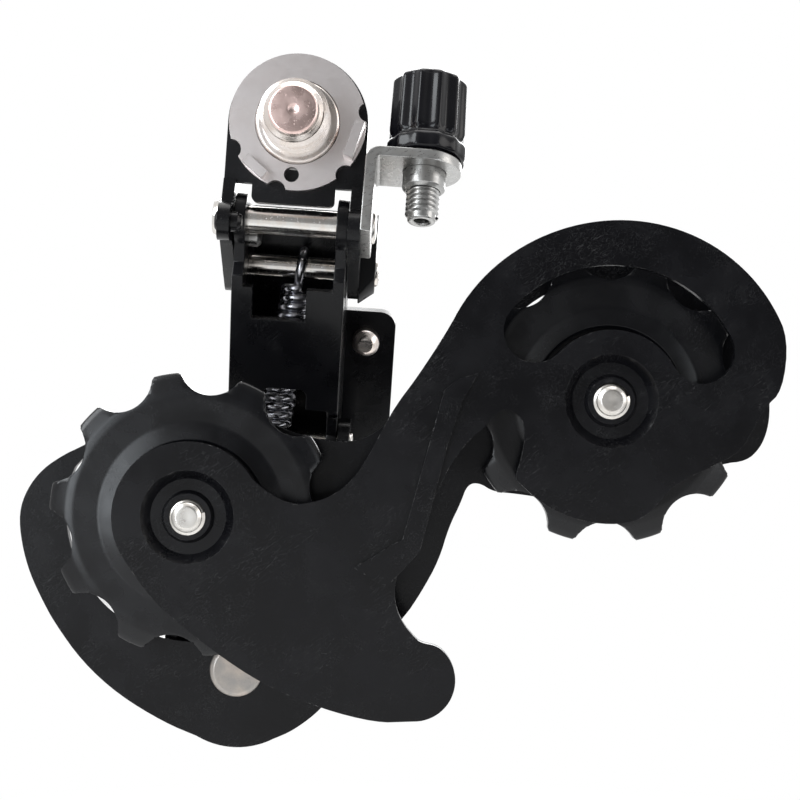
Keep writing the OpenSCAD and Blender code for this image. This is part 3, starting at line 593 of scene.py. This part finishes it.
def key_socket(across_flats):
    """The wall of a hexagon socket, seen as a radius that depends on the angle."""
    third = math.tau / 6
    return lambda angle: across_flats / 2 / math.cos(angle % third - third / 2)


def mounting_bolt():
    """M10 x 1 bolt: faced pilot, rolled thread, ground shoulder and a button head with a key socket."""
    top = BOLT_HEAD_Y + BOLT_HEAD_H
    faced_end = [(0.35, BOLT_END_Y + 0.2), (0.8, BOLT_END_Y), (PILOT_R - 0.3, BOLT_END_Y)]
    pilot = [(PILOT_R, BOLT_END_Y + 0.3), (PILOT_R, BOLT_END_Y + 1.25)]
    core = [(M10_CORE_R, BOLT_END_Y + 2), (M10_CORE_R, -0.2), (M10_R + 0.2, 0)]
    shoulder = [(SHOULDER_R - 0.3, 0), (SHOULDER_R, 0.3), (SHOULDER_R, BOLT_HEAD_Y)]
    flange = [(BOLT_HEAD_R - 0.2, BOLT_HEAD_Y), (BOLT_HEAD_R, BOLT_HEAD_Y + 0.3)]
    button = [(BOLT_HEAD_R, BOLT_HEAD_Y + 1.3), (7.5, top - 1.1), (5.6, top - 0.1), (3.4, top)]
    body = rounded(faced_end + pilot + core + shoulder + flange + button, 0.2)
    key = key_socket(5)
    bm = bmesh.new()
    turned_skin(bm, body + [(key, top - 0.15), (key, top - 3.0), (1.2, top - 3.5)], 72)
    thread(bm, M10_R, 0.62, 1, -7.9, 7.2, 48)
    dressed("faced_mounting_bolt", bm, ALONG_Y, bolt_steel, "mounting_bolt")


def pulley_bolt(name, node, where):
    """M5 pulley bolt: its end stands out of the inner plate, its low head is in the outer plate's seat."""
    end = INNER_PLATE_Y - 2.2
    top = OUTER_PLATE_Y + 2.8
    faced_end = [(0.5, end + 0.05), (1.5, end), (M5_CORE_R, end + 0.5), (M5_CORE_R, INNER_PLATE_Y + 1.5)]
    shank = [(M5_R, INNER_PLATE_Y + 2.0), (M5_R, OUTER_PLATE_Y)]
    head = [(M5_HEAD_R, OUTER_PLATE_Y), (M5_HEAD_R, top - 0.6), (M5_HEAD_R - 0.6, top), (2.0, top)]
    key = key_socket(3)
    socket = [(key, top - 0.1), (key, top - 1.9), (0.6, top - 2.2)]
    bm = bmesh.new()
    turned_skin(bm, rounded(faced_end + shank + head, 0.15) + socket, 60)
    thread(bm, M5_R, M5_THREAD_DEPTH, M5_PITCH, INNER_PLATE_Y - 1.25, 2.4)
    dressed(name, bm, where @ ALONG_Y, axle_steel, node)


def barrel():
    """Hollow barrel screw: the cable's housing sits in its top, and its thread runs in the bush."""
    low = -9.4
    top = 7.0
    bore = 1.1
    inside = [(bore, top - 0.2), (bore, low + 0.2), (bore + 0.3, low)]
    outside = [(M5_CORE_R - 0.2, low), (M5_CORE_R, low + 0.2), (M5_CORE_R, top - 0.4)]
    rim = [(M5_CORE_R - 0.2, top), (bore + 0.2, top)]
    bm = bmesh.new()
    turned_skin(bm, rounded(inside + outside + rim, 0.12), 48, closed=True)
    thread(bm, M5_R, M5_THREAD_DEPTH, M5_PITCH, low + 0.8, 15)
    dressed("threaded_barrel", bm, barrel_frame, zinc, "barrel_screw")


def wound_wire(name, path, radius):
    """A wire along a path of points, as one closed skin."""
    curve = bpy.data.curves.new(name, "CURVE")
    curve.dimensions = "3D"
    spline = curve.splines.new("POLY")
    spline.points.add(len(path) - 1)
    for point, at in zip(spline.points, path):
        point.co = (*(Vector(at) * MM), 1)
    curve.bevel_depth = radius * MM
    curve.bevel_resolution = 4
    curve.use_fill_caps = True
    holder = bpy.data.objects.new(name, curve)
    bpy.context.scene.collection.objects.link(holder)
    bpy.context.view_layer.update()
    mesh = bpy.data.meshes.new_from_object(holder)
    bpy.data.objects.remove(holder)
    bm = bmesh.new()
    bm.from_mesh(mesh)
    bpy.data.meshes.remove(mesh)
    return bm


def return_spring():
    """Close coil hooked over two pins, with short leads from each hook into the coil."""
    top = Vector((1.2, *PIN_B))
    end = Vector((-1.8, *PIN_D))
    along = (end - top).normalized()
    side = along.cross(Vector((1, 0, 0))).normalized()
    front = along.cross(side)

    def hook(centre, pin_radius, way):
        reach = way * (pin_radius + SPRING_WIRE + 0.12)
        angles = [math.radians(-60 + 10 * i) for i in range(19)]
        return [centre + reach * (side * math.cos(a) - along * math.sin(a)) for a in angles]

    coiled = (end - top).length - 2 * SPRING_LEAD
    coil = []
    for i in range(SPRING_TURNS * SPRING_STEPS + 1):
        a = math.tau * i / SPRING_STEPS
        height = SPRING_LEAD + coiled * i / (SPRING_TURNS * SPRING_STEPS)
        coil.append(top + along * height + (side * math.cos(a) + front * math.sin(a)) * SPRING_R)
    over_top = hook(top, OUTER_PIN_R, 1)
    under_end = hook(end, INNER_PIN_R, -1)
    lead_in = [over_top[0].lerp(coil[0], t) for t in (0.25, 0.5, 0.75)]
    lead_out = [coil[-1].lerp(under_end[0], t) for t in (0.25, 0.5, 0.75)]
    path = list(reversed(over_top)) + lead_in + coil + lead_out + under_end
    bm = wound_wire("return_coil", path, SPRING_WIRE)
    bm.transform(leaned)
    smooth_shaded(bm, 60)
    mesh = as_mesh(bm, "return_coil")
    piece = finished("return_coil", mesh, wire, None, ["return_spring"])
    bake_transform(piece)


# Nodes whose form is right already: node, finish, slot and the radius of their broken edges
EASED = [
    # the stopper plate takes the lighter zinc copy, whose extra lightness is painted light
    ("stopper_plate", zinc_painted_lit, "zinc", 0.18),
    ("pivot_sleeve", zinc, "zinc", 0.12),
    ("upper_knuckle", black_steel, "black_steel", 0.4),
    ("upper_inner_pin", pin_steel, "bright_steel", 0.1),
    ("upper_outer_pin", pin_steel, "bright_steel", 0.1),
    ("high_limit_screw", zinc, "zinc", 0.08),
    ("low_limit_screw", black_steel, "black_steel", 0.08),
    ("adjuster_bracket", zinc, "zinc", 0.25),
    ("adjuster_bush", zinc, "zinc", 0.12),
    ("inner_link", black_steel, "black_steel", 0.55),
    ("outer_link", black_steel, "black_steel", 0.35),
    ("cable_anchor_bolt", bolt_steel, "bright_steel", 0.15),
    ("cable_clamp_washer", zinc, "zinc", 0.15),
    ("lower_knuckle", black_steel, "black_steel", 0.45),
    ("lower_inner_pin", pin_steel, "bright_steel", 0.1),
    ("lower_outer_pin", pin_steel, "bright_steel", 0.1),
    ("cage_axle", rivet_steel, "bright_steel", 0.15),
    ("axle_circlip", wire, "spring_steel", 0.08),
    ("outer_cage_plate", plate_black, "black_steel", 0.3),
    ("inner_cage_plate", plate_black, "black_steel", 0.3),
    ("cage_stop_pin", rivet_steel, "bright_steel", 0.15),
    ("guide_bush", bolt_steel, "bright_steel", 0.1),
    ("guide_washers", zinc, "zinc", 0.06),
    ("tension_bush", bolt_steel, "bright_steel", 0.1),
    ("tension_washers", zinc, "zinc", 0.06),
]
for node, material, slot, radius in EASED:
    eased(node, node + "_dressed", material, radius)

mounting_bolt()
knob()
barrel()
pulley("guide_wheel", "guide_pulley", guide_frame, GUIDE_PHASE - CAGE_ANGLE)
pulley("tension_wheel", "tension_pulley", tension_frame, TENSION_PHASE - CAGE_ANGLE)
pulley_bolt("guide_axle_bolt", "guide_bolt", guide_frame)
pulley_bolt("tension_axle_bolt", "tension_bolt", tension_frame)
return_spring()

# Inner springs that keep their CAD form and only get their finish
for node in ("adjuster_spring", "cage_spring"):
    carried = frame["nodes"][node]
    carried.data.materials.clear()
    carried.data.materials.append(wire)

# Camera where the photograph was taken from, square to the linkage's side
CAMERA_PLACE = Vector((15.1, -240, -40.96)) * MM
CAMERA_LENS = 73.44
camera_data = bpy.data.cameras.new("camera")
camera_data.sensor_width = 36
camera_data.lens = CAMERA_LENS
camera_data.clip_start = 0.01
camera = bpy.data.objects.new("camera", camera_data)
camera.location = CAMERA_PLACE
camera.rotation_euler = (math.radians(90), 0, 0)
bpy.context.scene.collection.objects.link(camera)
bpy.context.scene.camera = camera


# Lamps in metres: name, place, width and height, power in watts, colour
MIDDLE = Vector((0.015, -0.005, -0.045))
LAMPS = [
    ("window", (-0.5, -0.3, 0.35), (0.3, 0.5), 4.0, (0.93, 0.97, 1.0)),
    ("low_window", (-0.26, -0.47, 0.0), (0.14, 0.28), 0.8, (0.88, 0.94, 1.0)),
    ("sky_light", (0.06, 0.1, 0.55), (0.6, 0.5), 2.4, (1.0, 0.99, 0.97)),
    ("room_fill", (0.55, -0.15, 0.1), (0.3, 0.4), 0.8, (1.0, 0.97, 0.94)),
    ("right_window", (0.34, -0.39, -0.02), (0.1, 0.3), 0.22, (0.9, 0.95, 1.0)),
    ("back_fill", (0.1, 0.5, 0.2), (0.5, 0.4), 3.0, (1.0, 1.0, 1.0)),
]
for name, place, size, power, colour in LAMPS:
    data = bpy.data.lights.new(name, "AREA")
    data.shape = "RECTANGLE"
    data.size, data.size_y = size
    data.energy = power
    data.color = colour
    made = bpy.data.objects.new(name, data)
    made.location = place
    made.rotation_euler = (MIDDLE - Vector(place)).to_track_quat("-Z", "Y").to_euler()
    bpy.context.scene.collection.objects.link(made)

# The world: white behind the object; the room in front is brighter at its window side, on the left
world = bpy.data.worlds.new("studio")
bpy.context.scene.world = world
w = Finish(world)
direction = w.node("ShaderNodeTexCoord", output=0)
across = w.node("ShaderNodeSeparateXYZ", {}, {0: direction}, output=0)
ahead = w.node("ShaderNodeSeparateXYZ", {}, {0: direction}, output=1)
up = w.node("ShaderNodeSeparateXYZ", {}, {0: direction}, output=2)
seen = w.ray("Is Camera Ray").highest(w.ray("Is Transmission Ray"))
front = ahead.between(-0.95, 0.1, 1, 0)
window_side = across.between(-0.4, 0.22, 0.72, 0.03)
mirrored = w.ray("Is Glossy Ray") * (1 - front * (1 - window_side))
room = ahead.between(-0.9, 0.4, 0.14, 0.5) + up.between(0.1, 0.9, 0, 0.2)
strength = seen.highest(mirrored).highest(room).lowest(1)
background = w.node("ShaderNodeBackground", {}, {"Color": (1, 1, 1, 1), "Strength": strength})
w.node("ShaderNodeOutputWorld", {}, {"Surface": background})

# A pale floor, low enough for the cage to swing over; away from the part it turns plain white
FLOOR_DROP = 185
FLOOR_HALF = 2500
WHITE_FROM = 180
WHITE_BEYOND = 420
bm = bmesh.new()
bmesh.ops.create_grid(bm, x_segments=8, y_segments=8, size=FLOOR_HALF * MM)
bm.transform(shift(0, 0, -FLOOR_DROP))
floor = bpy.data.objects.new("floor", as_mesh(bm, "floor"))
bpy.context.scene.collection.objects.link(floor)
paper, f = new_finish("pale_paper")
shaded = f.node(
    "ShaderNodeBsdfPrincipled",
    {},
    {
        "Base Color": f.mix(f.noise(0.05, 3.0), (0.85, 0.85, 0.845), (0.89, 0.89, 0.885)),
        "Roughness": 0.85,
        "Normal": f.bump(f.noise(0.6, 3.0), 0.05, 0.1),
    },
)
white = f.node("ShaderNodeEmission", {}, {"Color": (1, 1, 1, 1)})
from_middle = f.node("ShaderNodeVectorMath", {"operation": "LENGTH"}, {0: f.place()}, output=1)
far = from_middle.between(WHITE_FROM, WHITE_BEYOND) * f.ray("Is Camera Ray").highest(f.ray("Is Glossy Ray"))
both = f.node("ShaderNodeMixShader", {}, {0: far, 1: shaded, 2: white})
f.node("ShaderNodeOutputMaterial", {}, {"Surface": both})
floor.data.materials.append(paper)

bpy.context.scene.view_settings.view_transform = "Standard"
